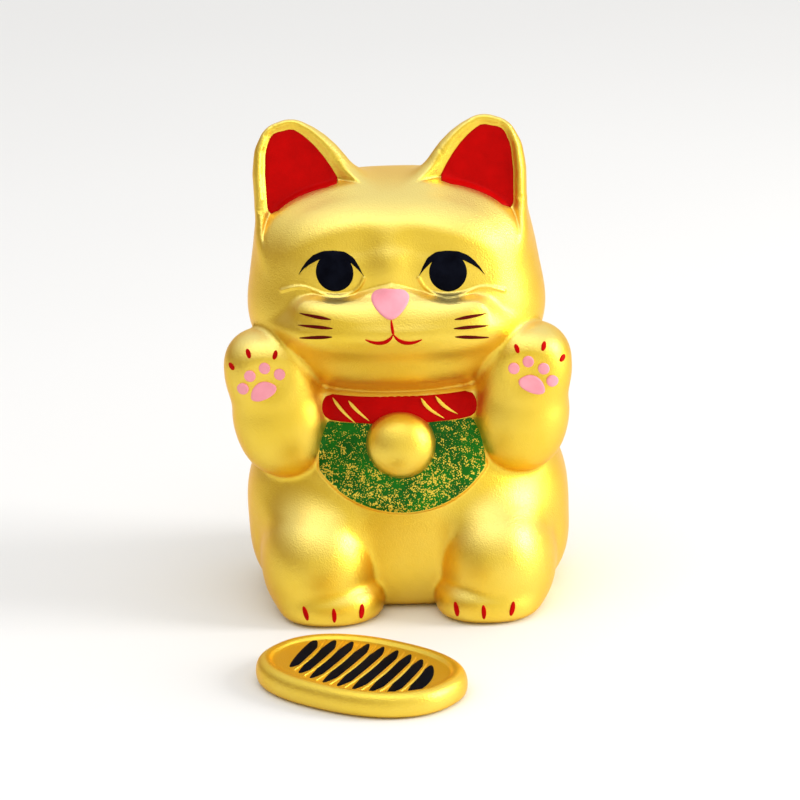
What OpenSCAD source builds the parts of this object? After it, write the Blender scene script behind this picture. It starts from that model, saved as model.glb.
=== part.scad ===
// Lucky cat with both paws raised, in gilt earthenware, with its loose oval coin.
// The figure faces -Y, stands on z = 0, and +X is on the viewer's right.
// All lengths are millimetres on a figure 110 mm tall; figure_h scales the whole set.

/* [Figure] */
// Height of the figure over its ear tips
figure_h = 110; // [80:1:150]
// Width across the hips
hip_w = 73; // [68:0.5:76]
// Width across the cheeks
head_w = 64; // [60:0.2:68]
// Thickness of the clay wall
wall = 4; // [3:0.5:5]
// Thickness of an enamel layer over the gilding
enamel = 0.4; // [0.3:0.05:0.6]

/* [Dress] */
// Diameter of the bell
bell_d = 15.5; // [13:0.5:16]
// Height of the collar roll
collar_h = 6; // [5:0.25:6.5]
// Thickness of the bib's clay
bib_t = 0.9; // [0.6:0.1:1.2]

/* [Base] */
// Thickness of the slab that closes the underside
base_t = 4; // [3:0.5:5]
// Diameter of the firing vent in the slab
vent_d = 10; // [6:0.5:13]

/* [Coin] */
// Length of the oval coin
coin_l = 48; // [44:1:52]
// Width of the oval coin
coin_w = 33; // [30:1:37]
// Thickness of the oval coin
coin_t = 5.25; // [4.5:0.25:6.5]

/* [Hidden] */

DRAWN_H = 110;                // the height at which every length here is drawn
gap = 0.1;                    // left between pieces that lie against each other
fit_gap = 0.2;                // left between separately moulded clay pieces
gold = [0.86, 0.68, 0.25];
red = [0.75, 0.03, 0.03];
green = [0.05, 0.40, 0.08];
pink = [0.95, 0.60, 0.72];
black = [0.03, 0.03, 0.05];
maroon = [0.30, 0.03, 0.03];

// Heights of the main features
spine_top = 74;               // above this the head is swept round to its crown
collar_z = 48.6;
bell_z = 39.7;
eye_z = 78.8;
vent_y = 10;                  // behind the middle of the slab

// ---------------------------------------------------------------- clay
// A lump is an ellipsoid, squarer as n grows above 2. Each function gives the signed
// distance from p to the clay, negative inside, close enough to true near the surface.

function power_norm(v, n) = pow(pow(v.x, n) + pow(v.y, n) + pow(v.z, n), 1 / n);

function lump(p, c, r, n = 2) =
    let (
        q = [abs(p.x - c.x) / r.x, abs(p.y - c.y) / r.y, abs(p.z - c.z) / r.z],
        size = power_norm(q, n),
        slope = norm([
            pow(q.x, n - 1) / r.x,
            pow(q.y, n - 1) / r.y,
            pow(q.z, n - 1) / r.z
        ])
    )
    slope < 1e-6 ? -min(r) : (size - 1) * pow(size, n - 1) / slope;

// Two masses pressed together, with a fillet about k across
function join(a, b, k) =
    let (h = max(k - abs(a - b), 0))
    min(a, b) - h * h / (4 * k);

// What two masses share, with an edge softened over k
function trim(a, b, k) = -join(-a, -b, k);

function mirrored(p) = [abs(p.x), p.y, p.z];

function head_clay(p) =
    let (
        m = mirrored(p),
        skull = lump(p, [0, 1, 73.5], [head_w / 2, 26, 22.5], 2.6),
        jowl = lump(m, [18, -3, 66], [14, 19, 13]),
        chin = lump(p, [0, -7.8, 59.2], [23, 17, 9.4], 2.4),
        muzzle = lump(p, [0, -19, 68.2], [22.6, 9.8, 7.4], 2.7)
    )
    join(join(join(skull, jowl, 6), chin, 4), muzzle, 1.5 + 6.5 * ease((71 - p.z) / 5));

function torso_clay(p) =
    let (
        m = mirrored(p),
        seat = lump(p, [0, 4, 17], [hip_w / 2, 26, 22], 2.9),
        chest = lump(p, [0, 2.5, 36], [28, 23.5, 26], 2.2),
        thigh = lump(m, [19.6, -12.8, 11], [13.6, 18.4, 15.8], 2.1),
        foot = lump(m, [17.6, -18.6, 3.4], [12, 13.2, 7], 2.3)
    )
    join(join(join(seat, chest, 14), thigh, 1.2 + 4 * ease((p.z - 14) / 10)), foot, 1.2);

// Head and torso, cut off with a soft edge a hair under the floor, so that points on the
// floor are inside the clay
floor_z = -0.02;
function body_clay(p) = trim(join(head_clay(p), torso_clay(p), 5), floor_z - p.z, 2);

// Raised arm on the +X side: elbow, wrist and a broad paw with a dished palm
function arm_clay(p) =
    let (
        elbow = lump(p, [25.8, -12.8, 40.6], [9.9, 11, 9.8], 2.2),
        wrist = lump(p, [27, -14.5, 48.5], [9.8, 9.3, 11], 2.2),
        paw = lump(p, [28.6, -15.6, 56.2], [9.8, 9, 9], 2.3),
        shoulder = lump(p, [25, -4, 44], [9, 11, 9]),
        palm = lump(p, [28.2, -30, 55.4], [8.3, 6.3, 6.6])
    )
    trim(join(join(join(elbow, wrist, 6), shoulder, 8), paw, 3.5), -palm, 2);

// ---------------------------------------------------------------- ears
// Seen from the front an ear is a triangle with round corners, and its front is a
// sloping face dished inside a rim.
ear_tip = [22.5, 103.8];
ear_in = [12.2, 92.4];
ear_out = [22.6, 84];
ear_round = 6.9;
ear_rim = 3;                  // from the edge of the face to the foot of its bevel
ear_dish = 1.8;

function to_segment(p, a, b) =
    let (ab = b - a, t = max(0, min(1, (p - a) * ab / (ab * ab))))
    norm(p - a - t * ab);

function side_of(p, a, b) = (b.x - a.x) * (p.y - a.y) - (b.y - a.y) * (p.x - a.x);

// Distance in the front view to the ear's rounded outline
function ear_outline(q) =
    let (
        d = min(
            to_segment(q, ear_tip, ear_in),
            to_segment(q, ear_in, ear_out),
            to_segment(q, ear_out, ear_tip)
        ),
        s = [side_of(q, ear_tip, ear_in), side_of(q, ear_in, ear_out),
             side_of(q, ear_out, ear_tip)]
    )
    (min(s) > 0 || max(s) < 0 ? -d : d) - ear_round;

function ease(t) = let (u = max(0, min(1, t))) u * u * (3 - 2 * u);

// The front face's y: it leans back towards the tip and is dished inside the rim
function ear_face(q) =
    -11 + (q.y - 86) * 0.32 + ear_dish * ease(-ear_outline(q) / ear_rim);

function ear_clay(p) =
    let (
        q = [p.x, p.z],
        wide = ear_outline(q),
        thick = p.y - (4.5 - (p.z - 86) * 0.16)
    )
    trim(trim(wide, thick, 7), ear_face(q) - p.y, 1.5);

// An ear stops at the head, which it is luted on to
function seated_ear(p) = max(ear_clay(p), gap - body_clay(p));

// An arm stops at the body
function seated_arm(p) = max(arm_clay(p), gap - body_clay(p));

// ---------------------------------------------------------------- rays
// Which clay a ray is looking for
BODY = 0;
ARM = 1;
EAR = 2;

function clay(which, p) =
    which == BODY ? body_clay(p)
    : which == ARM ? seated_arm(p)
    : seated_ear(p);

// How far along direction d from a point o inside the clay its level is crossed
function reach(which, o, d, level, near = 0, far = 64, steps = 13) =
    steps == 0 ? (near + far) / 2
    : let (mid = (near + far) / 2)
      clay(which, o + mid * d) < level
      ? reach(which, o, d, level, mid, far, steps - 1)
      : reach(which, o, d, level, near, mid, steps - 1);

// The point of the clay's front at x and z, lifted off it by lift
function on_front(which, q, lift) =
    let (deep = [q.x, which == ARM ? -16 : 0, q.y])
    deep + reach(which, deep, [0, -1, 0], lift, 0, 48) * [0, -1, 0];

// ---------------------------------------------------------------- meshing
// A closed solid between two grids of points of the same size, whose rows go up and
// whose columns go to the viewer's right. Points that fall together, as at a pole,
// become one.
module between(outer, inner, round = false) {
    rows = len(outer);
    cols = len(outer[0]);
    pole = norm(outer[rows - 1][0] - outer[rows - 1][1]) < 1e-6;
    half = rows * cols;
    points = [for (g = [outer, inner]) for (row = g) for (p = row) p];
    function at(side, i, j) =
        side * half + i * cols + (pole && i == rows - 1 ? 0 : round ? j % cols : j);
    last = round ? cols : cols - 1;
    quads = concat(
        [for (i = [0 : rows - 2]) for (j = [0 : last - 1])
            [at(0, i, j), at(0, i, j + 1), at(0, i + 1, j + 1), at(0, i + 1, j)]],
        [for (i = [0 : rows - 2]) for (j = [0 : last - 1])
            [at(1, i, j), at(1, i + 1, j), at(1, i + 1, j + 1), at(1, i, j + 1)]],
        [for (j = [0 : last - 1]) [at(0, 0, j), at(1, 0, j), at(1, 0, j + 1), at(0, 0, j + 1)]],
        pole ? [] : [for (j = [0 : last - 1])
            [at(0, rows - 1, j), at(0, rows - 1, j + 1), at(1, rows - 1, j + 1),
             at(1, rows - 1, j)]],
        round ? [] : [for (i = [0 : rows - 2])
            [at(0, i, 0), at(0, i + 1, 0), at(1, i + 1, 0), at(1, i, 0)]],
        round ? [] : [for (i = [0 : rows - 2])
            [at(0, i, last), at(1, i, last), at(1, i + 1, last), at(0, i + 1, last)]]
    );
    triangles = [for (q = quads) for (t = [[q[0], q[1], q[2]], [q[0], q[2], q[3]]])
        if (t[0] != t[1] && t[1] != t[2] && t[2] != t[0]) t];
    used = [for (k = [0 : 2 * half - 1])
        !(pole && (k % half) >= (rows - 1) * cols && (k % cols) != 0)];
    place = [for (k = 0, n = 0; k < 2 * half; n = n + (used[k] ? 1 : 0), k = k + 1) n];
    polyhedron(
        points = [for (k = [0 : 2 * half - 1]) if (used[k]) points[k]],
        faces = [for (t = triangles) [place[t[2]], place[t[1]], place[t[0]]]]
    );
}

// A closed skin swept over rings of points between two poles
module skin(south, rings, north) {
    cols = len(rings[0]);
    rows = len(rings);
    points = concat([south], [for (r = rings) for (p = r) p], [north]);
    function at(i, j) = 1 + i * cols + j % cols;
    polyhedron(
        points = points,
        faces = concat(
            [for (j = [0 : cols - 1]) [0, at(0, j), at(0, j + 1)]],
            [for (i = [0 : rows - 2]) for (j = [0 : cols - 1])
                [at(i, j), at(i + 1, j), at(i + 1, j + 1)]],
            [for (i = [0 : rows - 2]) for (j = [0 : cols - 1])
                [at(i, j), at(i + 1, j + 1), at(i, j + 1)]],
            [for (j = [0 : cols - 1]) [len(points) - 1, at(rows - 1, j + 1), at(rows - 1, j)]]
        )
    );
}

// A piece of clay taken in rays from its middle, o
module modelled(which, o, rows, cols) {
    function toward(lift, turn) =
        [cos(lift) * sin(turn), -cos(lift) * cos(turn), sin(lift)];
    function hit(lift, turn) =
        o + reach(which, o, toward(lift, turn), 0, 0, 40) * toward(lift, turn);
    skin(
        hit(-90, 0),
        [for (i = [1 : rows - 1]) [for (j = [0 : cols - 1])
            hit(-90 + 180 * i / rows, 360 * j / cols)]],
        hit(90, 0)
    );
}

// An enamel layer on the front of the clay inside an outline of [x, z] points
module patch(which, middle, outline, thick = enamel, rings = 2) {
    n = len(outline);
    function ring(s, lift) =
        [for (q = outline) on_front(which, middle + s * (q - middle), lift)];
    points = concat(
        [on_front(which, middle, gap + thick), on_front(which, middle, gap)],
        [for (i = [1 : rings]) each ring(i / rings, gap + thick)],
        [for (i = [1 : rings]) each ring(i / rings, gap)]
    );
    function at(side, i, j) = 2 + side * n * rings + (i - 1) * n + j % n;
    polyhedron(
        points = points,
        faces = concat(
            [for (j = [0 : n - 1]) [0, at(0, 1, j + 1), at(0, 1, j)]],
            [for (j = [0 : n - 1]) [1, at(1, 1, j), at(1, 1, j + 1)]],
            [for (i = [1 : rings - 1]) for (j = [0 : n - 1])
                each quad(at(0, i, j), at(0, i, j + 1), at(0, i + 1, j + 1), at(0, i + 1, j))],
            [for (i = [1 : rings - 1]) for (j = [0 : n - 1])
                each quad(at(1, i, j), at(1, i + 1, j), at(1, i + 1, j + 1), at(1, i, j + 1))],
            [for (j = [0 : n - 1])
                each quad(at(0, rings, j), at(0, rings, j + 1), at(1, rings, j + 1),
                          at(1, rings, j))]
        )
    );
}

function quad(a, b, c, d) = [[a, b, c], [a, c, d]];

// The points of a brush stroke's outline along a bow: from a to b, bulging sideways by
// bow, and broad in the middle
function stroke(a, b, broad, bow = 0, n = 6) =
    let (
        along = b - a,
        side = [-along.y, along.x] / norm(along),
        at = function(t, s) a + t * along
            + side * (4 * bow * t * (1 - t) + s * broad / 2 * (0.15 + 0.85 * sin(180 * t)))
    )
    concat(
        [for (i = [0 : n]) at(i / n, -1)],
        [for (i = [n : -1 : 0]) at(i / n, 1)]
    );

function midway(a, b, bow = 0) =
    let (along = b - a)
    a + along / 2 + [-along.y, along.x] / norm(along) * bow;

module brush_stroke(which, a, b, broad, bow = 0) {
    patch(which, midway(a, b, bow), stroke(a, b, broad, bow), enamel, 1);
}

function ellipse(c, r, turn = 0, n = 20) =
    [for (i = [0 : n - 1])
        let (a = 360 * i / n)
        c + [r.x * cos(a) * cos(turn) - r.y * sin(a) * sin(turn),
             r.x * cos(a) * sin(turn) + r.y * sin(a) * cos(turn)]];

module dot(which, c, r, turn = 0) {
    patch(which, c, ellipse(c, r, turn, 14), enamel, 1);
}

module left() {
    mirror([1, 0, 0]) children();
}

// ---------------------------------------------------------------- the casting
// One half of the hollow head and torso. Rays leave the upright spine level with the
// floor up to spine_top, and fan up to the crown above it.
module shell(front, cols) {
    rise = 2.6;
    fan = 9;
    function ray(turn, up) = [cos(up) * sin(turn), -cos(up) * cos(turn), sin(up)];
    rows = concat(
        [[0, 0], [0.8, 0]],
        [for (z = [rise : rise : spine_top]) [z, 0]],
        [for (i = [1 : fan]) [spine_top, 90 * i / fan]]
    );
    turns = [for (j = [0 : cols]) (front ? -90 : 90) + 180 * j / cols];
    function side(depth) =
        [for (r = rows) [for (turn = turns)
            let (o = [0, 0, r[0]], d = ray(r[1] > 89 ? 0 : turn, r[1]))
            o + (reach(BODY, o, d, 0) - depth) * d]];
    between(side(0), side(wall));
}

module front_shell() {
    color(gold) shell(true, 36);
}

module back_shell() {
    color(gold) shell(false, 22);
}

// The slab of clay let into the foot ring, with the vent that lets steam out in firing
module base_slab() {
    steps = 72;
    footprint = [for (i = [0 : steps - 1])
        let (
            turn = 360 * i / steps,
            d = [sin(turn), -cos(turn), 0],
            r = min([for (z = [0, 0.8, 2.6, 5.2]) reach(BODY, [0, 0, z], d, 0)])
                - wall - fit_gap
        )
        [r * d.x, r * d.y]];
    color(gold) difference() {
        linear_extrude(base_t) polygon(footprint);
        translate([0, vent_y, -1]) cylinder(h = base_t + 2, d = vent_d, $fn = 64);
    }
}

// A short tail lying up the back from the seat
module tail() {
    root = [13, 0, 6];
    tip = [-3, 0, 21];
    thick = 4.2;
    steps = 14;
    function spine(t) =
        root + t * (tip - root) + [7 * sin(180 * t), 0, 0];
    function ring(t, lift) =
        let (c = spine(t), r = thick * sqrt(max(0.02, 1 - pow(2 * t - 1, 6))))
        [for (s = [1 : -0.25 : -1])
            let (
                q = c + s * r * [0.7, 0, 0.7],
                o = [q.x, 10, q.z],
                y = reach(BODY, o, [0, 1, 0], 0, 0, 30)
            )
            o + [0, y + gap + lift * (0.3 + r * sqrt(1 - s * s)), 0]];
    color(gold) between(
        [for (i = [0 : steps]) ring(i / steps, 0.8)],
        [for (i = [0 : steps]) ring(i / steps, 0)]
    );
}

module arm() {
    color(gold) modelled(ARM, [27.4, -16.5, 49], 26, 26);
}

module ear() {
    color(gold) modelled(EAR, [20.5, -1.5, 98.5], 24, 26);
}

// ---------------------------------------------------------------- paint on the head
// The red inside of an ear, from the bevel's foot down to the forehead
module ear_lining() {
    middle = [20.3, 96];
    n = 26;
    // the outline stands inside the rim, and stops where the face meets the head
    function edge(a, near = 0, far = 16, steps = 12) =
        let (mid = (near + far) / 2, q = middle + mid * [cos(a), sin(a)])
        steps == 0 ? q
        : ear_outline(q) + ear_rim < 0
          && body_clay([q.x, ear_face(q) - enamel, q.y]) > 3 * gap
        ? edge(a, mid, far, steps - 1)
        : edge(a, near, mid, steps - 1);
    function layer(q, lift) = [q.x, ear_face(q) - gap - lift, q.y];
    outline = [for (i = [0 : n - 1]) edge(360 * i / n)];
    rings = 3;
    color(red) between(
        [for (k = [rings : -1 : 0]) [for (q = outline)
            layer(middle + k / rings * (q - middle), enamel)]],
        [for (k = [rings : -1 : 0]) [for (q = outline)
            layer(middle + k / rings * (q - middle), 0)]],
        true
    );
}

// Iris and upper lash line, in black. The lash line is a bow that thins towards its
// ends and stops the iris at the top.
module eye() {
    middle = [12.3, eye_z];
    iris = [4.1, 4.3];
    inner = 6.8;
    outer = 8.6;
    ends_z = -0.8;
    // height of the bow's lower edge, and of its upper edge, at x
    function bow(x, rise) =
        let (u = x > 0 ? x / outer : x / inner)
        ends_z + rise * sqrt(max(0, 1 - u * u));
    function low(x) = bow(x, 4.1);
    function high(x) = bow(x, 5.3) + 0.2;
    disc = [for (a = [0 : 12 : 348])
        let (x = iris.x * cos(a)) [x, min(iris.y * sin(a), low(x) - 2 * gap)]];
    across = [for (i = [0 : 16])
        let (a = 90 - 180 * i / 16) sin(-a) * (a > 0 ? inner : outer)];
    function lash(lift) =
        [[for (x = across) on_front(BODY, middle + [x, low(x)], lift)],
         [for (x = across) on_front(BODY, middle + [x, high(x)], lift)]];
    color(black) {
        patch(BODY, middle, [for (q = disc) middle + q], enamel, 2);
        between(lash(gap + enamel), lash(gap));
    }
}

module nose() {
    middle = [0, 73.5];
    top = [[4.3, 1.2], [3.3, 2.5], [1.6, 3], [0, 3.1]];
    low = [[0, -3.3], [1.4, -2.6], [2.9, -1], [4.1, 0.3]];
    outline = concat(
        [for (q = low) middle + q],
        [for (q = top) middle + q],
        [for (i = [2 : -1 : 0]) middle + [-top[i].x, top[i].y]],
        [for (i = [3 : -1 : 1]) middle + [-low[i].x, low[i].y]]
    );
    color(pink) patch(BODY, middle, outline, enamel, 2);
}

module mouth() {
    parting = [0, 66.8];
    color(red) union() {
        brush_stroke(BODY, [0, 69.7], parting, 1);
        brush_stroke(BODY, parting + [0.3, -0.8], [6.4, 66.8], 1, -1);
        brush_stroke(BODY, parting - [0.3, 0.8], [-6.4, 66.8], 1, 1);
    }
}

module whiskers() {
    color(maroon) for (i = [-1 : 1])
        brush_stroke(BODY, [13.2, 68 + 1.9 * i], [20.6, 68 + 2.5 * i], 0.8);
}

// ---------------------------------------------------------------- dress
// A roll laid on the neck between two turns about the spine
module collar(from, to, cols) {
    half_h = collar_h / 2;
    across = 8;
    function dip(turn) = collar_z - 1.2 * cos(turn);
    function layer(lift) =
        [for (i = [0 : across])
            let (s = -cos(180 * i / across))
            [for (j = [0 : cols])
                let (
                    turn = from + (to - from) * j / cols,
                    o = [0, 0, dip(turn) + s * half_h],
                    d = [sin(turn), -cos(turn), 0]
                )
                o + (reach(BODY, o, d, 0) + gap
                    + lift * (0.25 + half_h * 0.75 * sqrt(1 - s * s))) * d]];
    color(red) between(layer(1), layer(0));
}

module collar_front() {
    collar(-40, 40, 26);
}

module collar_back() {
    collar(106, 254, 28);
}

// Gold brush strokes that make the roll read as a twisted cord
module collar_stripe(start) {
    steps = 6;
    // where the stroke's side s lies on the roll, t of the way down it
    function lane(t, s, lift) =
        let (
            turn = start + 8.5 * t + s * 1.6 * sin(20 + 140 * t),
            height = (1 - 2 * t) * 0.84,
            o = [0, 0, collar_z - 1.2 * cos(turn) + height * collar_h / 2],
            d = [sin(turn), -cos(turn), 0],
            bulge = collar_h / 2 * 0.75 * sqrt(1 - height * height)
        )
        o + (reach(BODY, o, d, 0) + 2 * gap + 0.25 + bulge + lift) * d;
    function layer(lift) =
        [for (i = [steps : -1 : 0]) [for (s = [-1, 0, 1]) lane(i / steps, s, lift)]];
    between(layer(enamel), layer(0));
}

module collar_stripes() {
    color(gold) for (start = [-29.6, -21.6, 13.2, 19.7]) collar_stripe(start);
}

// The bib hangs from under the collar to a round hem
module bib() {
    top_z = collar_z - collar_h / 2 - 1.35;
    wide_z = 36;
    hem_z = 24.3;
    half_w = 18.8;
    cols = 18;
    // how far out the chest is clear of the arm at height z
    function open_to(z, near = 8, far = 24, steps = 9) =
        let (x = (near + far) / 2)
        steps == 0 ? x
        : arm_clay(on_front(BODY, [x, z], 0)) > bib_t + 4 * gap
        ? open_to(z, x, far, steps - 1)
        : open_to(z, near, x, steps - 1);
    hem = [for (a = [86, 78, 70, 62, 54, 45, 36, 27, 18, 9])
        [half_w * pow(cos(a), 0.85), wide_z - (wide_z - hem_z) * sin(a)]];
    sides = [for (t = [0 : 0.25 : 1])
        [half_w * (1 - 0.06 * t * t), wide_z + (top_z - wide_z) * t]];
    function layer(lift) =
        [for (row = concat(hem, sides))
            let (half = min(row.x, open_to(row.y)))
            [for (j = [0 : cols])
                on_front(BODY, [half * (2 * j / cols - 1), row.y], gap + lift)]];
    color(green) between(layer(bib_t), layer(0));
}

// A round bell, cut flat at the back where it is pressed into the bib, and leaning
// with the chest
module bell() {
    r = bell_d / 2;
    sunk = 1;                     // of its middle behind the bib's face
    flat = 1.4;                   // from its middle back to the flat
    function chest(z) = on_front(BODY, [0, z], gap + bib_t);
    middle = chest(bell_z);
    lean = atan2(chest(bell_z + r / 2).y - chest(bell_z - r / 2).y, r);
    color(gold) translate(middle) rotate([90 - lean, 0, 0]) translate([0, 0, -sunk])
        rotate_extrude($fn = 72) intersection() {
            circle(r, $fn = 72);
            translate([0, -flat]) square([2 * r, 2 * r]);
        }
}

// ---------------------------------------------------------------- paint on the paws
palm = [28.8, 53.1];

module paw_pads() {
    color(pink) {
        dot(ARM, palm + [0.5, 0], [2.9, 1.9], -12);
        for (bean = [[-3.2, 3.7], [0, 5.2], [3.3, 3.5], [5, 0.6]])
            dot(ARM, palm + bean, [1.2, 1.25]);
    }
}

module paw_claws() {
    color(red) for (claw = [[-2.1, 7.1, -0.6], [3.2, 7.4, 0.5], [7, 4.5, 0.8]])
        brush_stroke(
            ARM,
            palm + [claw.x, claw.y],
            palm + [claw.x + claw.z, claw.y + 1.8],
            1.1
        );
}

module toe_claws() {
    color(red) for (claw = [[10.8, -0.5], [16.8, 0], [22.2, 0.7]])
        brush_stroke(BODY, [claw.x, 2.2], [claw.x + claw.y, 5.4], 1.2);
}

// ---------------------------------------------------------------- the coin
coin_at = [-9, -67];          // where it lies on the floor, before the feet
coin_turn = -35;
coin_rim = 3;
coin_field = 0.9;             // depth of the field below the rim

function oval(inset, n = 56) =
    [for (i = [0 : n - 1])
        let (a = 360 * i / n, c = cos(a), s = sin(a))
        [(coin_l / 2 - inset) * sign(c) * pow(abs(c), 0.86),
         (coin_w / 2 - inset) * sign(s) * pow(abs(s), 0.86)]];

module on_floor() {
    translate([coin_at.x, coin_at.y, 0]) rotate([0, 0, coin_turn]) children();
}

module coin() {
    profile = [
        [2.2, 0], [0.7, 0.4], [0.1, 1.5], [0, coin_t * 0.5], [0.3, coin_t - 1.1],
        [1, coin_t - 0.3], [1.9, coin_t], [coin_rim - 0.4, coin_t - 0.25],
        [coin_rim + 0.4, coin_t - coin_field]
    ];
    color(gold) on_floor() skin(
        [0, 0, 0],
        [for (q = profile) [for (p = oval(q[0])) [p.x, p.y, q[1]]]],
        [0, 0, coin_t - coin_field]
    );
}

// Slanting bars of black enamel between the ridges of the coin's field
module coin_inlay() {
    bars = 8;
    pitch = 3.9;
    slant = -2.4;
    z = coin_t - coin_field + gap;
    function room(x) = (coin_w / 2 - coin_rim - 2.2) * sqrt(1 - pow(x / (coin_l / 2 - 3.5), 2));
    color(black) on_floor() for (i = [0 : bars - 1]) {
        x = (i - (bars - 1) / 2) * pitch;
        half = room(x);
        bow = 0.7 * (i % 2 == 0 ? 1 : -1);
        translate([0, 0, z]) linear_extrude(enamel)
            polygon(stroke([x - slant, -half], [x + slant, half], 2.1, bow, 10));
    }
}

// ---------------------------------------------------------------- assembly
scale(figure_h / DRAWN_H) {
    front_shell();
    back_shell();
    base_slab();
    tail();
    left() arm();  // left_arm
    arm();  // right_arm
    left() ear();  // left_ear
    ear();  // right_ear
    left() ear_lining();  // left_ear_lining
    ear_lining();  // right_ear_lining
    left() eye();  // left_eye
    eye();  // right_eye
    nose();
    mouth();
    left() whiskers();  // left_whiskers
    whiskers();  // right_whiskers
    collar_front();
    collar_back();
    collar_stripes();
    bib();
    bell();
    left() paw_pads();  // left_paw_pads
    paw_pads();  // right_paw_pads
    left() paw_claws();  // left_paw_claws
    paw_claws();  // right_paw_claws
    left() toe_claws();  // left_toe_claws
    toe_claws();  // right_toe_claws
    coin();
    coin_inlay();
}
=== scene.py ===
# %% [markdown]
# # A gilded beckoning cat with its loose coin
# The object is a press-moulded earthenware figure. Its whole surface is coated in satin gold, and
# the face, collar, bib and paws are laid on top in thick enamel colours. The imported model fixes
# where everything is. This lesson makes the surfaces that are seen.

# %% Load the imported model
import math
import bmesh
import bpy
import numpy as np
from mathutils import Matrix, Vector


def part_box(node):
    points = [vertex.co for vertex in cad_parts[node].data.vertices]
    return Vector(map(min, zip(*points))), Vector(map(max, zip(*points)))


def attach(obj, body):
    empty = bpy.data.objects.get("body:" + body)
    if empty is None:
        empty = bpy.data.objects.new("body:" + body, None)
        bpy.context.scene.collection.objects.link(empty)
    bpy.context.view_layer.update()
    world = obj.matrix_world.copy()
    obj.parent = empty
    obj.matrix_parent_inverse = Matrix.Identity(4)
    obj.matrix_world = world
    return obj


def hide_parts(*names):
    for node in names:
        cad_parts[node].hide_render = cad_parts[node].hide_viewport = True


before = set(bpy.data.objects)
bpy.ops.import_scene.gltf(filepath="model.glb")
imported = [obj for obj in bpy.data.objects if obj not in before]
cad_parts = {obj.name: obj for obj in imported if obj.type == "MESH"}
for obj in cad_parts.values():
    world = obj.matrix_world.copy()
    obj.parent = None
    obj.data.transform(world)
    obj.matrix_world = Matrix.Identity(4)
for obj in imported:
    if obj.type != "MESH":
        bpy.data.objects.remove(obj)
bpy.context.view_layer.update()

# %% [markdown]
# The figure was drawn 110 mm tall, and its crown is 96 of those millimetres above the table.
# Everything below is modelled in drawn millimetres and turned into metres at the very end of each
# piece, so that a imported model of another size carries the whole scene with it.

# %% One drawn millimetre, in metres
CROWN = 96.0
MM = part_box("front_shell")[1].z / CROWN
print("one drawn millimetre is", round(MM * 1000, 4), "mm")

# %% [markdown]
# ## Clay as a formula
# A moulded animal is a few round masses pressed together, with soft fillets where they meet. That
# can be written down: each mass is a squarish ellipsoid with a signed distance, negative inside,
# and two masses join by a minimum that is rounded over a width k. The formula lets one function
# place the clay, the paint on it and the shading of its creases, so they always agree.

# %% Masses, joins and cuts
def lump(p, centre, radii, n=2.0):
    """Signed distance from the points p to an ellipsoid, squarer as n grows."""
    q = np.abs(p - np.array(centre)) / np.array(radii)
    size = (q ** n).sum(axis=1) ** (1 / n)
    slope = np.sqrt(((q ** (n - 1) / np.array(radii)) ** 2).sum(axis=1))
    return (size - 1) * size ** (n - 1) / np.maximum(slope, 1e-6)


def join(a, b, k):
    """Two masses pressed together, with a fillet about k across."""
    h = np.maximum(k - np.abs(a - b), 0)
    return np.minimum(a, b) - h * h / (4 * k)


def trim(a, b, k):
    """What two masses share, with its edge softened over k."""
    return -join(-a, -b, k)


def ease(t):
    u = np.clip(t, 0, 1)
    return u * u * (3 - 2 * u)


def mirrored(p):
    return np.column_stack([np.abs(p[:, 0]), p[:, 1], p[:, 2]])


def only(where, shape, p, elsewhere=9.0):
    """A shape worked out only where it can matter; elsewhere it counts as far away."""
    out = np.full(len(p), elsewhere)
    if where.any():
        out[where] = shape(p[where])
    return out


def reach_along(ok, n, far, steps):
    """How far each of n rays gets while ok holds, found by halving."""
    low, high = np.zeros(n), np.full(n, far)
    for _ in range(steps):
        middle = (low + high) / 2
        good = ok(middle)
        low, high = np.where(good, middle, low), np.where(good, high, middle)
    return low


# %% [markdown]
# Relief that a mould gives, such as an eyelid or the edge of the bib, is easier to draw in the
# front view. These helpers measure the front view's x and z against a line or an outline.

# %% Distances in the front view
def flat(p):
    """The front view of the points, folded onto the +X side."""
    return np.column_stack([np.abs(p[:, 0]), p[:, 2]])


def to_line(q, line):
    """Distance from the flat points q to an open line."""
    best = np.full(len(q), 1e9)
    for a, b in zip(line[:-1], line[1:]):
        a, b = np.array(a, float), np.array(b, float)
        along = b - a
        t = np.clip((q - a) @ along / (along @ along), 0, 1)
        best = np.minimum(best, np.linalg.norm(q - a - t[:, None] * along, axis=1))
    return best


def inside(q, outline):
    """How far inside an outline the flat points q are; negative outside. The side that closes a
    half outline lies on the middle plane, so it's no edge and isn't measured."""
    ring = list(outline) + [outline[0]]
    crossings = np.zeros(len(q), int)
    for (ax, az), (bx, bz) in zip(ring[:-1], ring[1:]):
        spans = (az > q[:, 1]) != (bz > q[:, 1])
        at = ax + (q[:, 1] - az) * (bx - ax) / ((bz - az) or 1e-9)
        crossings += spans & (q[:, 0] < at)
    return np.where(crossings % 2 == 1, 1, -1) * to_line(q, outline)


def rounded(points, closed=True, times=3):
    """Cuts the corners of a given outline until it reads as a curve."""
    pts = [np.array(p, float) for p in points]
    for _ in range(times):
        ring = pts + [pts[0]] if closed else pts
        new = []
        for a, b in zip(ring[:-1], ring[1:]):
            new += [0.75 * a + 0.25 * b, 0.25 * a + 0.75 * b]
        pts = new if closed else [pts[0]] + new + [pts[-1]]
    return [tuple(p) for p in pts]


# %% [markdown]
# ## The masses of the cat
# The body is a heavy seat with a chest, two thighs and two low feet. The head is a squarish skull
# with jowls and a wide muzzle. Each raised arm is an elbow, a wrist and a broad paw whose palm is
# dished a little. The numbers are drawn millimetres, and the head, torso and arms have the packed
# model's own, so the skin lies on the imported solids. The tail is a roll measured off the torso.

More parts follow.
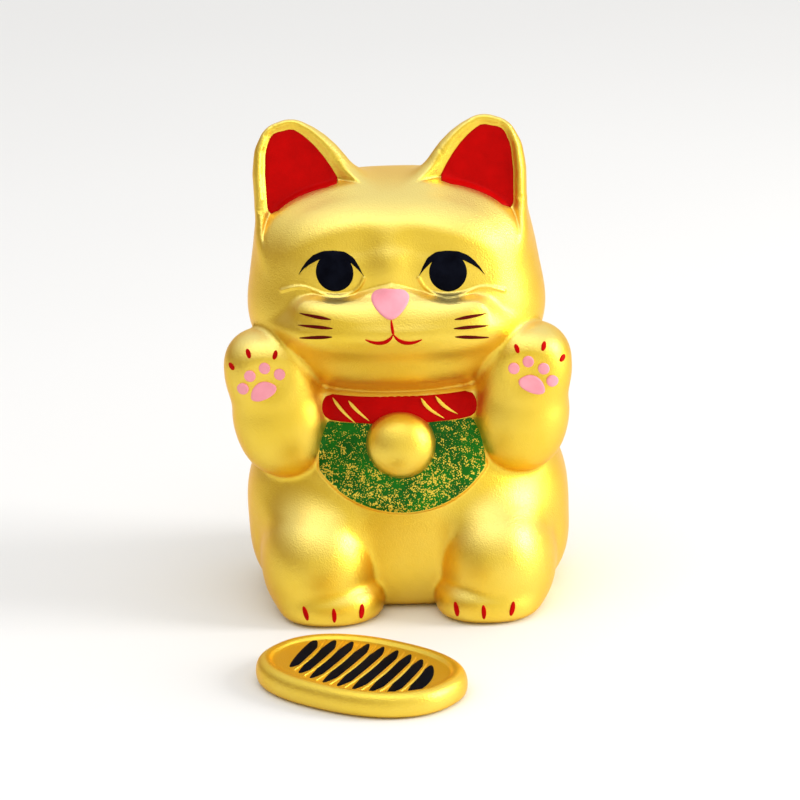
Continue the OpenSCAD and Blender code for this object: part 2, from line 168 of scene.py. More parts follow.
# %% Head, torso and arms
def head_mass(p):
    m = mirrored(p)
    skull = lump(p, (0, 1, 73.5), (32, 26, 22.5), 2.6)
    jowl = lump(m, (18, -3, 66), (14, 19, 13))
    chin = lump(p, (0, -7.8, 59.2), (23, 17, 9.4), 2.4)
    muzzle = lump(p, (0, -19, 68.2), (22.6, 9.8, 7.4), 2.7)
    under = ease((71 - p[:, 2]) / 5)
    return join(join(join(skull, jowl, 6), chin, 4), muzzle, 1.5 + 6.5 * under)


def torso_mass(p):
    m = mirrored(p)
    seat = lump(p, (0, 4, 17), (36.5, 26, 22), 2.9)
    chest = lump(p, (0, 2.5, 36), (28, 23.5, 26), 2.2)
    thigh = lump(m, (19.6, -12.8, 11), (13.6, 18.4, 15.8), 2.1)
    foot = lump(m, (17.6, -18.6, 3.4), (12, 13.2, 7), 2.3)
    knee = 1.2 + 4 * ease((p[:, 2] - 14) / 10)
    return join(join(join(seat, chest, 14), thigh, knee), foot, 1.2)


def arm_mass(p):
    m = mirrored(p)
    elbow = lump(m, (25.8, -12.8, 40.6), (9.9, 11, 9.8), 2.2)
    wrist = lump(m, (27, -14.5, 48.5), (9.8, 9.3, 11), 2.2)
    shoulder = lump(m, (25, -4, 44), (9, 11, 9))
    paw = lump(m, (28.6, -15.6, 56.2), (9.8, 9, 9), 2.3)
    palm = lump(m, (28.2, -30, 55.4), (8.3, 6.3, 6.6))
    return trim(join(join(join(elbow, wrist, 6), shoulder, 8), paw, 3.5), -palm, 2)


def tail_mass(p):
    """A short roll that lies on the back, measured off the torso so that it follows it."""
    root, tip = np.array((13.0, 6.0)), np.array((-3.0, 21.0))
    t = np.linspace(0, 1, 15)
    middle = root + t[:, None] * (tip - root) + np.column_stack([7 * np.sin(np.pi * t), 0 * t])
    across = to_line(p[:, [0, 2]], [tuple(m) for m in middle])
    return np.sqrt(across ** 2 + np.maximum(torso_mass(p), 0) ** 2) - 4.0


# %% [markdown]
# ## Ears
# Seen from the front an ear is a triangle with round corners. It is thick, round at the back, and
# grows out of the crown in one sweep. The dish is then cut into its front: from a crisp rim a bevel
# runs in to a flat floor. The cut stops at the head's own surface, so the forehead ends the dish
# below with a clean edge.

# %% Ear shape
EAR = rounded([(24.0, 106.2), (17.0, 101.2), (11.0, 90.6), (23.2, 82.0)], times=2)
EAR.append(EAR[0])
EAR_ROUND = 6.6
EAR_FOOT = 86.0
RIM = 1.3
DISH = 2.2


def ear_inside(q):
    """How far inside the ear's rounded outline the flat points q are."""
    return inside(q, EAR) + EAR_ROUND


def ear_plane(q):
    """The y of the ear's front, which leans back towards the tip."""
    return -11 + (q[:, 1] - EAR_FOOT) * 0.32


def bevel(q):
    """The bevel's width, which is less along the ear's outer side."""
    return 2.7 - 1.2 * ease((q[:, 0] - 22) / 5)


def ear_floor(q):
    """The y of the dish: the bevel, and the flat floor it runs down to. Outside the rim the
    bevel's slope carries on forwards, clear of the ear."""
    slope = join((ear_inside(q) - RIM) / bevel(q), np.ones(len(q)), 0.3)
    return ear_plane(q) + 0.25 + DISH * np.maximum(slope, -3)


def ear_mass(p):
    """The ear before it is dished: its outline, a well rounded back and a softer front."""
    q = flat(p)
    back = 4.5 - (q[:, 1] - EAR_FOOT) * 0.16
    return trim(trim(-ear_inside(q), p[:, 1] - back, 7), ear_plane(q) - p[:, 1], 4.5)


def dish_cut(p):
    """Distance into the air that is cut out of the ear's front."""
    return 0.8 * (ear_floor(flat(p)) - p[:, 1])


# %% [markdown]
# ## Relief
# The mould also raises low relief: a hollow for the eyes under an arched brow, the bridge of the
# nose, thin lid lines, the muzzle's crisp upper ledge, the bib with its round hem, and the collar
# roll. Relief is added as a height over the front view, which only acts on what faces forward.

# %% Outlines of the relief
EYE = np.array((12.3, 78.8))
ASKEW = 0.026
MUZZLE = [(0, 76.6), (4.2, 75.2), (8, 73.8), (12.2, 73.0), (15, 73.5), (18, 73.7), (20.6, 72.6),
          (22.6, 70.2), (23.2, 67), (22.4, 63.4), (18, 60.6), (10, 59.6), (0, 59.4)]
LOWER_LID = [(12.0, -4.7), (9.6, -3.7), (7.2, -3.3), (5.0, -3.9), (2.6, -4.8), (-0.5, -5.1),
             (-3.4, -4.6), (-5.2, -3.2), (-6.4, -1.1)]
HEM_R, HEM_Z = 23.3, 47.6
BIB_CORNER = 34.0
BIB_TOP = 45.5
COLLAR_Z = 48.6
COLLAR_DROOP = 1.2
COLLAR_HALF = 3.1
COLLAR_END = 17.6


def bib_outline(inset=0.0):
    """Straight sides that spread downwards, and a hem that is an arc of a circle."""
    half = math.degrees(math.asin(18.8 / HEM_R))
    r = HEM_R - inset
    hem = [(r * math.sin(math.radians(a)), HEM_Z - r * math.cos(math.radians(a)))
           for a in np.linspace(0, half - 1.5 * inset, 14)]
    return hem + [(18.9 - 1.1 * inset, BIB_CORNER + 0.6), (16.5 - inset, BIB_TOP), (0, BIB_TOP)]


MUZZLE_CURVE = rounded(MUZZLE, closed=False, times=2)
LOWER_CURVE = rounded(LOWER_LID, closed=False, times=1)


def oval(q, centre, radii):
    """How far out the flat points are, where 1 is the oval's edge."""
    d = (q - np.array(centre)) / np.array(radii)
    return np.sqrt((d ** 2).sum(axis=1))


# %% Heights of the relief
def ridge(distance, height, width):
    return height * np.exp(-(distance / width) ** 2)


def relief(p):
    """Height of the moulded relief over the plain masses."""
    return (only((p[:, 1] < -8) & (p[:, 2] > 57), face_relief, p, 0.0)
            + only((p[:, 1] < -8) & (p[:, 2] < 50), bib_relief, p, 0.0))


def forward(p):
    """1 on the front of the cat, fading to 0 towards its sides."""
    return ease((-8 - p[:, 1]) / 4)


def bib_relief(p):
    return 0.75 * forward(p) * ease(inside(flat(p), bib_outline()) / 0.45 + 0.5)


def face_view(p):
    """The face's own front view: it was set a little askew on the head."""
    return np.column_stack([np.abs(p[:, 0]), p[:, 2] + ASKEW * p[:, 0]])


def face_relief(p):
    """Eye hollows, nose bridge, eyeballs, lid lines and the ledge over the muzzle."""
    q = face_view(p)
    hollow = -1.8 * ease((1 - oval(q, (0, 78.5), (24.5, 11.8))) / 0.55)
    bridge = 1.7 * np.exp(-(q[:, 0] / 4.0) ** 2 - ((q[:, 1] - 80.5) / 7) ** 2)
    ball = 0.5 * ease((1.3 - oval(q - EYE, (0.4, 0), (7.4, 5.0))) / 0.9)
    lids = ridge(to_line(q - EYE, LOWER_CURVE), 0.34, 0.36)
    soft = 1.2 + 4.5 * ease((71.5 - q[:, 1]) / 5) + 2 * ease((q[:, 0] - 19) / 4)
    ledge = ease(inside(q, MUZZLE_CURVE) / soft + 0.5) * ease((q[:, 1] - 59) / 7)
    return forward(p) * (hollow + bridge + ball + lids + ledge)


# %% [markdown]
# The collar is a roll that hugs the neck. Its place is measured with the body's own distance, so it
# follows the neck all the way round. At the front it ends beside the bib, and at the back it runs
# on until it meets the arms.

# %% Collar roll
def collar_height(p):
    """z of the roll's middle at the turn the points are at: lower at the throat."""
    turn = np.arctan2(p[:, 0], -p[:, 1])
    return COLLAR_Z - COLLAR_DROOP * np.cos(turn)


def collar_mass(p, neck):
    """The roll, from the points' own distance to the neck."""
    proud = 2.3
    dz = (p[:, 2] - collar_height(p)) / (COLLAR_HALF + 0.45)
    roll = (np.sqrt((neck / proud) ** 2 + dz ** 2) - 1) * proud
    ends = np.where(p[:, 1] < 0, np.abs(p[:, 0]) - COLLAR_END, -20)
    return trim(roll, ends, 0.8)


# %% [markdown]
# The parts are joined one after another: collar, ears, tail, arms. Each joint has its own fillet,
# wide where two parts flow together and tight where they meet at a visible line. Underneath, a
# hollow is cut straight up from the footprint, one wall in, where the base slab is let in.

# %% The whole cat
FLOOR, FLOOR_SOFT = -0.02, 2.0
WALL, HOLLOW_TOP = 4.25, 9.0
NECK_FILLET, COLLAR_FILLET, EAR_FILLET, TAIL_FILLET, ARM_FILLET = 5, 0.5, 5, 2.5, 1.3
NO_CUT = -9.0


def body_clay(p):
    """Head and torso without relief, cut off at the floor with a soft edge."""
    return trim(join(head_mass(p), torso_mass(p), NECK_FILLET), FLOOR - p[:, 2], FLOOR_SOFT)


def slab_hollow(p):
    """Distance into the hollow that the base slab closes: the footprint, one wall in."""
    footprint = p * np.array((1, 1, 0))
    return np.minimum(-torso_mass(footprint) - WALL, HOLLOW_TOP - p[:, 2])


def closed_clay(p):
    """The whole cat, still closed underneath."""
    body = body_clay(p)
    collared = join(body - relief(p), collar_mass(p, body), COLLAR_FILLET)
    eared = join(collared, only(p[:, 2] > 70, ear_mass, p), EAR_FILLET)
    dish = join(only(p[:, 2] > 76, dish_cut, p, NO_CUT), collared - 0.6, 0.4)
    dished = trim(eared, dish, 0.6)
    tailed = join(dished, only(p[:, 1] > 15, tail_mass, p), TAIL_FILLET)
    near_arm = (np.abs(p[:, 0]) > 8) & (p[:, 2] > 22) & (p[:, 2] < 76)
    return join(tailed, only(near_arm, arm_mass, p), ARM_FILLET)


def cat_clay(p):
    """The whole cat, with the hollow that the base slab closes."""
    near_slab = p[:, 2] < HOLLOW_TOP + 3
    return trim(closed_clay(p), only(near_slab, slab_hollow, p, NO_CUT), 0.3)


def downhill(p, clay=cat_clay, step=0.04):
    """The clay's distance at the points p, and its slope, which points out of the clay."""
    here = clay(p)
    slope = np.column_stack([clay(p + step * np.eye(3)[i]) - here for i in range(3)]) / step
    return here, slope


# %% [markdown]
# ## From formula to mesh
# Blender has no tool that meshes a formula, but it has one that meshes a heap of overlapping
# solids: the voxel remesh. So balls are stacked roughly where the masses are and remeshed into one
# skin, and each point of the skin then slides down the formula's slope onto the clay. A second
# remesh evens out the faces, and the points slide again. Sliding can't open a hollow, so that is
# cut between the two remeshes with a Boolean.

# %% Mesh helpers
def new_object(name, mesh):
    piece = bpy.data.objects.new(name, mesh)
    bpy.context.scene.collection.objects.link(piece)
    return piece


def as_mesh(bm, name):
    mesh = bpy.data.meshes.new(name)
    bm.to_mesh(mesh)
    bm.free()
    return mesh


def points_of(mesh):
    co = np.empty(len(mesh.vertices) * 3, np.float32)
    mesh.vertices.foreach_get("co", co)
    return co.reshape(-1, 3).astype(float)


def set_points(mesh, points):
    mesh.vertices.foreach_set("co", points.astype(np.float32).ravel())
    mesh.update()


def evaluated(piece):
    """The piece's mesh with its modifiers applied."""
    graph = bpy.context.evaluated_depsgraph_get()
    return bpy.data.meshes.new_from_object(piece.evaluated_get(graph))


def remeshed(mesh, voxel):
    """The skin of a heap of solids, in even faces."""
    heap = new_object("heap", mesh)
    mod = heap.modifiers.new("skin", "REMESH")
    mod.mode = "VOXEL"
    mod.voxel_size = voxel
    skin = evaluated(heap)
    bpy.data.objects.remove(heap)
    return skin


def settle(mesh, clay, times, reach=2.0):
    """Slides every point of the mesh onto the clay."""
    p = points_of(mesh)
    for _ in range(times):
        here, slope = downhill(p, clay)
        size = np.maximum((slope ** 2).sum(axis=1), 0.2)
        move = np.clip(here, -reach, reach) / size
        p = p - move[:, None] * slope
    set_points(mesh, p)


# %% Evening out
def relax(mesh, clay, rounds):
    """Evens out the points along the clay, so that no face is folded or thin."""
    for _ in range(rounds):
        bm = bmesh.new()
        bm.from_mesh(mesh)
        bmesh.ops.smooth_vert(bm, verts=bm.verts, factor=0.5, use_axis_x=True, use_axis_y=True,
                              use_axis_z=True)
        bm.to_mesh(mesh)
        bm.free()
        settle(mesh, clay, 1, 0.5)


# %% Rough heap of balls, each a middle and three radii
BALLS = [
    ((0, 1, 73.5), (31, 25, 22)), ((0, -16, 69), (20, 10, 7)), ((0, -7.8, 59.2), (22.5, 16.5, 9.2)),
    ((18, -3, 66), (14, 19, 13)), ((0, 3, 18), (34, 26, 19)), ((0, 2.5, 36), (28, 23.5, 26)),
    ((18.5, -11.5, 12.5), (14.6, 18, 13)), ((16.8, -20.5, 5), (10, 13, 5)),
    ((26.2, -12.5, 39.8), (9.4, 10.8, 9.8)), ((27.2, -14.5, 48), (9.2, 9, 11)),
    ((25, -4, 44), (9, 11, 9)), ((28.6, -15.6, 56.2), (9.8, 9, 9)),
    ((21, -2, 97), (8.5, 5.5, 11)), ((17, -2, 90), (9, 6, 8)), ((6, 29, 14), (9, 4, 9)),
]


def heap_of_balls():
    bm = bmesh.new()
    for (x, y, z), radii in BALLS:
        is_tail = y > 20
        sides = (1,) if x == 0 or is_tail else (1, -1)
        for s in sides:
            place = Matrix.Translation((s * x, y, z)) @ Matrix.Diagonal((*radii, 1))
            bmesh.ops.create_uvsphere(bm, u_segments=32, v_segments=20, radius=1, matrix=place)
    return as_mesh(bm, "heap")


# %% Hollow behind the base slab
def hollow_plug(corners=72, below=3):
    """The air behind the base slab, as a solid to cut away."""
    turns = np.linspace(0, 2 * np.pi, corners, endpoint=False)
    aim = np.column_stack([np.sin(turns), -np.cos(turns), 0 * turns])
    near = reach_along(lambda r: slab_hollow(aim * r[:, None]) > 0, corners, 50.0, 20)
    bm = bmesh.new()
    ring = bmesh.ops.create_circle(bm, cap_ends=True, segments=corners, radius=1.0)["verts"]
    for vert, direction, r in zip(ring, aim, near):
        vert.co = Vector(direction * r) - Vector((0, 0, below))
    top = bmesh.ops.extrude_face_region(bm, geom=list(bm.faces))["geom"]
    raised = [g for g in top if isinstance(g, bmesh.types.BMVert)]
    bmesh.ops.translate(bm, verts=raised, vec=(0, 0, HOLLOW_TOP + below))
    bmesh.ops.recalc_face_normals(bm, faces=bm.faces)
    return as_mesh(bm, "plug")


def cut_away(mesh, plug_mesh):
    whole, plug = new_object("whole", mesh), new_object("plug", plug_mesh)
    mod = whole.modifiers.new("hollow", "BOOLEAN")
    mod.operation, mod.solver, mod.object = "DIFFERENCE", "EXACT", plug
    hollowed = evaluated(whole)
    for piece in (whole, plug):
        bpy.data.objects.remove(piece)
    return hollowed


# %% The skin
ROUGH_FACE, FINE_FACE = 1.6, 0.87
rough = remeshed(heap_of_balls(), ROUGH_FACE)
settle(rough, closed_clay, 6)
skin = remeshed(cut_away(rough, hollow_plug()), FINE_FACE)
settle(skin, cat_clay, 2)
relax(skin, cat_clay, 4)
print("skin", len(skin.vertices), "points")

# %% [markdown]
# Lids, ledges and rims are thinner than the skin's faces. Where they are, and only there, the faces
# are split and slid onto the clay once more.

# %% Finer faces where the relief is fine
def refine(mesh, near):
    """Splits the edges whose middles are near fine relief, and settles the new points."""
    bm = bmesh.new()
    bm.from_mesh(mesh)
    middles = np.array([(e.verts[0].co + e.verts[1].co) / 2 for e in bm.edges])
    chosen = [e for e, yes in zip(bm.edges, near(middles)) if yes]
    bmesh.ops.subdivide_edges(bm, edges=chosen, cuts=1, use_grid_fill=True)
    bm.to_mesh(mesh)
    bm.free()
    settle(mesh, cat_clay, 2, 0.5)
    relax(mesh, cat_clay, 3)
    settle(mesh, cat_clay, 1, 0.3)


def face_lines(p, lid_reach, ledge_reach):
    """Which points lie near a lower lid line or near the muzzle's upper ledge."""
    q = face_view(p)
    lids = to_line(q - EYE, LOWER_CURVE) < lid_reach
    ledge = (np.abs(inside(q, MUZZLE_CURVE)) < ledge_reach) & (p[:, 2] > 69)
    return (p[:, 1] < -8) & (lids | ledge)


def near_relief(p):
    q = flat(p)
    bib = np.abs(inside(q, bib_outline())) < 1.3
    ends = (np.abs(q[:, 1] - collar_height(p)) < 5) & (q[:, 0] < 20)
    rim = (ear_inside(q) > -1) & (ear_inside(q) < 6.5) & (p[:, 1] < 0) & (q[:, 1] > 84)
    return face_lines(p, 1.6, 1.6) | ((p[:, 1] < -8) & (bib | ends)) | rim


def near_edges(p):
    q = flat(p)
    in_ear = (p[:, 1] < 0) & (q[:, 1] > 84) & (ear_inside(q) > 0)
    rim = np.abs(ear_inside(q) - RIM) < 0.8
    brim = np.abs(only(in_ear, body_clay, p)) < 0.9
    return face_lines(p, 0.9, 0.8) | (in_ear & (rim | brim))


refine(skin, near_relief)
refine(skin, near_edges)
print("skin with relief", len(skin.vertices), "points")

# %% [markdown]
# ## The painted shade map
# Shade is painted into the gold: tight places get a deeper, more orange gold. How tight a place is
# comes from the same formula: a short way out along the normal, open surface is that far from the
# clay, and a crease is less. A painted highlight goes on what faces up, a paler gold for the bright
# light overhead, so how far each point faces up is stored as well.

# %% Painted shade and highlight map
def painted_light_map(mesh, clay, out=2.2):
    p = points_of(mesh)
    _, slope = downhill(p, clay)
    normal = slope / np.maximum(np.linalg.norm(slope, axis=1), 1e-6)[:, None]
    # Painted shade: how deep in a crease each point lies, 1 in the tightest places.
    painted_crease_shade = np.clip(1 - clay(p + out * normal) / out, 0, 1)
    # How far each point faces up is kept as the mask of the painted top highlight.
    for name, values in (("painted_crease_shade", painted_crease_shade), ("painted_top_light", normal[:, 2])):
        data = mesh.attributes.new(name, "FLOAT", "POINT")
        data.data.foreach_set("value", values.astype(np.float32))
    return painted_crease_shade


print("deepest crease", round(float(painted_light_map(skin, cat_clay).max()), 2))

# %% [markdown]
# ## Finishing a piece
# A finished piece is in metres, sits at the origin, shades smooth, has its material, rides on its
# body and hides the imported nodes it stands for. The cat came out of its mould leaning a hair to
# one side, so all its pieces are given the same small slant.

# %% Finish
LEAN, LEAN_ABOUT = 0.02, 17


def finish_piece(name, mesh, material, body="cat", stands_for=()):
    if body == "cat":
        aslant = Matrix.Identity(4)
        aslant[0][2], aslant[0][3] = -LEAN, LEAN * LEAN_ABOUT
        mesh.transform(aslant)
    mesh.transform(Matrix.Scale(MM, 4))
    mesh.materials.clear()
    mesh.materials.append(material)
    mesh.polygons.foreach_set("use_smooth", [True] * len(mesh.polygons))
    mesh.update()
    piece = new_object(name, mesh)
    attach(piece, body)
    if stands_for:
        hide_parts(*stands_for)
    print(name, len(mesh.polygons), "faces")
    return piece


# %% [markdown]
# ## Gold
# Satin gold lacquer is a metal paint: its highlight is broad, and under a lens it sparkles, because
# the flakes lie at slightly different angles. The base colour drifts a little. On the skin, painted
# shade turns it orange in the creases and a painted highlight makes it paler on what faces up. A very
# fine bump scatters the highlight into grain. The tint on the specular colour keeps the edges warm,
# where plain metal would turn white.

# %% Node helpers
def material(name):
    """A new material, its node tree, its shader and the coordinates its patterns use."""
    mat = bpy.data.materials.new(name)
    mat.use_nodes = True
    tree = mat.node_tree
    coords = tree.nodes.new("ShaderNodeTexCoord").outputs["Object"]
    return mat, tree, tree.nodes["Principled BSDF"], coords


def set_inputs(node, **sockets):
    for key, value in sockets.items():
        node.inputs[key.replace("_", " ")].default_value = value
    return node


def add(tree, kind, **sockets):
    return set_inputs(tree.nodes.new(kind), **sockets)


def noise(tree, coords, scale, detail=2.0, rough=0.5):
    node = add(tree, "ShaderNodeTexNoise", Scale=scale, Detail=detail, Roughness=rough)
    tree.links.new(coords, node.inputs["Vector"])
    return node.outputs["Fac"]


def spread(tree, value, low, high, to_low=0.0, to_high=1.0):
    node = tree.nodes.new("ShaderNodeMapRange")
    tree.links.new(value, node.inputs["Value"])
    for key, number in zip(("From Min", "From Max", "To Min", "To Max"),
                           (low, high, to_low, to_high)):
        node.inputs[key].default_value = number
    return node.outputs["Result"]


def blend_colour(tree, factor, first, second):
    node = tree.nodes.new("ShaderNodeMix")
    node.data_type = "RGBA"
    tree.links.new(factor, node.inputs["Factor"])
    for socket, colour in ((node.inputs[6], first), (node.inputs[7], second)):
        if isinstance(colour, tuple):
            socket.default_value = (*colour, 1)
        else:
            tree.links.new(colour, socket)
    return node.outputs[2]


def sum_of(tree, first, second, operation="ADD"):
    node = tree.nodes.new("ShaderNodeMath")
    node.operation = operation
    tree.links.new(first, node.inputs[0])
    tree.links.new(second, node.inputs[1])
    return node.outputs["Value"]


def stored(tree, name):
    """A value that was stored on the mesh's points."""
    node = tree.nodes.new("ShaderNodeAttribute")
    node.attribute_name = name
    return node.outputs["Fac"]


def bump(tree, height, strength, distance, under=None):
    node = add(tree, "ShaderNodeBump", Strength=strength, Distance=distance)
    tree.links.new(height, node.inputs["Height"])
    if under is not None:
        tree.links.new(under, node.inputs["Normal"])
    return node.outputs["Normal"]


# %% Gold lacquer
GOLD = (0.86, 0.60, 0.035)
PALE_GOLD = (0.91, 0.67, 0.08)
# A paler gold painted on what faces up, as a painted highlight from the light overhead.
TOP_HIGHLIGHT_GOLD = (0.93, 0.78, 0.26)
# A deeper orange gold painted into the creases as painted shade.
CREASE_SHADE_GOLD = (0.80, 0.31, 0.02)


def gold_lacquer(name, painted_light):
    mat, tree, shader, coords = material(name)
    drift = noise(tree, coords, 45, 3)
    colour = blend_colour(tree, spread(tree, drift, 0.35, 0.7), GOLD, PALE_GOLD)
    # The skin's gold gets painted shade in its creases and a painted highlight on what faces up.
    if painted_light:
        crease_shade_amount = spread(tree, stored(tree, "painted_crease_shade"), 0.4, 1.0, 0.0, 0.5)
        colour = blend_colour(tree, crease_shade_amount, colour, CREASE_SHADE_GOLD)
        # Painted highlight: paler gold on what faces up.
        top_highlight = spread(tree, stored(tree, "painted_top_light"), 0.3, 0.95, 0.0, 0.85)
        colour = blend_colour(tree, top_highlight, colour, TOP_HIGHLIGHT_GOLD)
    tree.links.new(colour, shader.inputs["Base Color"])
    flakes = noise(tree, coords, 2800, 2, 0.6)
    tree.links.new(spread(tree, flakes, 0.3, 0.7, 0.28, 0.42), shader.inputs["Roughness"])
    brushed = bump(tree, noise(tree, coords, 420, 3), 0.12, 0.0003)
    tree.links.new(bump(tree, flakes, 0.5, 0.0002, brushed), shader.inputs["Normal"])
    set_inputs(shader, Metallic=0.97, Specular_Tint=(1.0, 0.62, 0.25, 1), Coat_Weight=0.6,
               Coat_Roughness=0.4)
    return mat


# The skin's gold, with the painted crease shade and the painted top highlight.
gold_with_painted_light = gold_lacquer("gold_lacquer", True)
plain_gold = gold_lacquer("gold_lacquer_plain", False)

finish_piece(
    "cat_skin", skin, gold_with_painted_light,
    stands_for=("front_shell", "back_shell", "tail", "left_arm", "right_arm", "left_ear",
                "right_ear"))

# %% [markdown]
# ## Enamel
# Each colour is a thick drop of enamel that follows the clay and rounds off at its edge. A drop is
# a ball pressed flat: the ball's round outline is stretched to the wanted outline in the front
# view, its front half is lifted a few tenths of a millimetre off the clay, and its back half is
# sunk a little under it, so the edge closes against the clay by itself.

# %% Finding the clay along a line of sight
def first_hit(start, direction, clay, steps=50):
    """Where lines of sight first meet the clay: each step is as long as the air ahead allows."""
    at = start.copy()
    for _ in range(steps):
        air = clay(at)
        at = at + 0.75 * air[:, None] * direction
        if np.abs(air).max() < 0.004:
            break
    return at


def laid_on(front_xz, lift, clay, from_y=-45.0):
    """Front-view points laid on the clay and lifted off it along its normal."""
    n = len(front_xz)
    start = np.column_stack([front_xz[:, 0], np.full(n, from_y), front_xz[:, 1]])
    on = first_hit(start, np.tile((0.0, 1.0, 0.0), (n, 1)), clay)
    _, slope = downhill(on, clay)
    normal = slope / np.linalg.norm(slope, axis=1)[:, None]
    return on + lift[:, None] * normal


def ball(segments=40, rings=16, turned=False):
    """A unit ball whose flat direction is y; its poles face front and back unless turned."""
    bm = bmesh.new()
    bmesh.ops.create_uvsphere(bm, u_segments=segments, v_segments=rings, radius=1)
    if not turned:
        bmesh.ops.rotate(bm, verts=bm.verts, matrix=Matrix.Rotation(math.radians(90), 3, "X"))
    return bm


def drop_lift(side, thick, sunk, square=5.0):
    """Height of a drop over the clay, from the ball's front and back halves."""
    front = np.clip(-side, 0, 1)
    back = np.clip(side, 0, 1)
    return thick * (1 - (1 - front) ** square) - sunk * np.minimum(1, back * 3)


def moved(bm, places):
    """Puts every point of a shape in its place."""
    for v, q in zip(bm.verts, places):
        v.co = q
    bmesh.ops.recalc_face_normals(bm, faces=bm.faces)
    return bm


def drop(outline, middle, thick=0.3, sunk=0.3, rings=16, segments=56):
    """A drop of enamel with an outline of front-view points around its middle."""
    bm = ball(segments, rings)
    p = np.array([v.co for v in bm.verts])
    radius = np.minimum(np.hypot(p[:, 0], p[:, 2]), 1)
    angle = np.arctan2(p[:, 2], p[:, 0])
    edge = np.array(outline) - middle
    edge_angle = np.arctan2(edge[:, 1], edge[:, 0])
    order = np.argsort(edge_angle)
    reach = np.interp(angle, edge_angle[order], np.hypot(*edge.T)[order], period=2 * np.pi)
    xz = middle + (radius * reach)[:, None] * np.column_stack([np.cos(angle), np.sin(angle)])
    return moved(bm, laid_on(xz, drop_lift(p[:, 1], thick, sunk), cat_clay))


# %% [markdown]
# A brush stroke is the same ball turned on its side: its poles become the stroke's two ends, and
# the path between them can bow.

# %% Brush strokes
def stroke(path, breadth, thick=0.25, sunk=0.3, clay=cat_clay, segments=20, rings=40):
    """A stroke along front-view points; breadth is a number or one for each point."""
    path = np.array(path, float)
    length = np.r_[0, np.cumsum(np.hypot(*np.diff(path, axis=0).T))]
    t_path = length / length[-1]
    wide = np.broadcast_to(np.array(breadth, float), (len(path),))
    bm = ball(segments, rings, turned=True)
    p = np.array([v.co for v in bm.verts])
    t = 0.5 + np.arcsin(np.clip(p[:, 2], -1, 1)) / np.pi
    centre = np.column_stack([np.interp(t, t_path, path[:, i]) for i in (0, 1)])
    ahead = np.column_stack([np.interp(np.minimum(t + 0.02, 1), t_path, path[:, i])
                             - np.interp(np.maximum(t - 0.02, 0), t_path, path[:, i])
                             for i in (0, 1)])
    ahead /= np.hypot(*ahead.T)[:, None]
    round_end = np.maximum(np.cos(np.arcsin(np.clip(p[:, 2], -1, 1))), 1e-4)
    across = p[:, 0] / round_end
    taper = round_end ** 0.45
    half = 0.5 * np.interp(t, t_path, wide) * taper
    xz = centre + (across * half)[:, None] * np.column_stack([-ahead[:, 1], ahead[:, 0]])
    lift = drop_lift(p[:, 1] / round_end * taper, thick, sunk, 3.0)
    return moved(bm, laid_on(xz, lift, clay))


def swell(path, places, widths):
    """The breadth at every point of a path, from its breadth at a few places along it."""
    return np.interp(np.linspace(0, 1, len(path)), places, widths)


def gather(parts, name):
    """Several shapes made one mesh."""
    whole = bmesh.new()
    for part in parts:
        mesh = as_mesh(part, "part")
        whole.from_mesh(mesh)
        bpy.data.meshes.remove(mesh)
    return as_mesh(whole, name)


def flip(points):
    return [(-x, z) for x, z in points]


def on_side(points, side):
    """Points drawn for the +X side, put on the side that is asked for."""
    return points if side > 0 else flip(points)


def on_face(points):
    """Points of the face's own front view, put where the askew face has them."""
    return [(x, z - ASKEW * x) for x, z in points]


def circle(middle, rx, rz, n=48):
    return [(middle[0] + rx * math.cos(a), middle[1] + rz * math.sin(a))
            for a in np.linspace(0, 2 * math.pi, n, endpoint=False)]


# %% [markdown]
# The colours dry to a low sheen, duller than the lacquer, so their gloss is kept small. They flow
# a little unevenly under the brush: the colour has faint streaks and the surface a faint ripple.

# %% Enamel material
def enamel(name, dark, light, rough=0.45, gloss=0.04, streak=260):
    mat, tree, shader, coords = material(name)
    streaks = noise(tree, coords, streak, 4, 0.6)
    colour = blend_colour(tree, spread(tree, streaks, 0.3, 0.7), dark, light)
    tree.links.new(colour, shader.inputs["Base Color"])
    tree.links.new(spread(tree, streaks, 0.3, 0.7, rough - 0.06, rough + 0.08),
                   shader.inputs["Roughness"])
    ripple = bump(tree, noise(tree, coords, streak * 1.4, 3), 0.25, 0.00015)
    grain = noise(tree, coords, 2600, 2)
    tree.links.new(bump(tree, grain, 0.12, 0.0001, ripple), shader.inputs["Normal"])
    set_inputs(shader, Specular_IOR_Level=gloss)
    return mat


red = enamel("red_enamel", (0.42, 0.0008, 0.0008), (0.53, 0.001, 0.001))
pink = enamel("pink_enamel", (0.88, 0.32, 0.40), (0.95, 0.39, 0.48), 0.5)
black = enamel("black_enamel", (0.002, 0.002, 0.004), (0.005, 0.006, 0.012), 0.4, 0.004)
maroon = enamel("maroon_enamel", (0.07, 0.002, 0.002), (0.13, 0.004, 0.003), 0.5)


def paint(node, parts, colour, name=None):
    """Makes the shapes of one colour one piece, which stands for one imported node."""
    mesh = gather(parts, node)
    finish_piece((name or node) + "_enamel", mesh, colour, stands_for=(node,))


# %% [markdown]
# ## Face
# The eyes are black discs under a lash line that thins out to both sides. The nose is a pink
# triangle with round corners, the mouth a short stem with two strokes that curl up, and each cheek
# has three whiskers.

# %% Eyes
LASH = [(8.0, -1.0), (6.9, 0.6), (5.6, 1.9), (4.1, 3.0), (2.2, 3.8), (0, 4.1), (-2.2, 3.75),
        (-3.9, 2.7), (-5.2, 1.1), (-6.4, -0.8)]
LASH_WIDE = (0.12, 0.7, 1.2, 1.5, 1.4, 1.1, 1.4, 1.5, 1.0, 0.12)


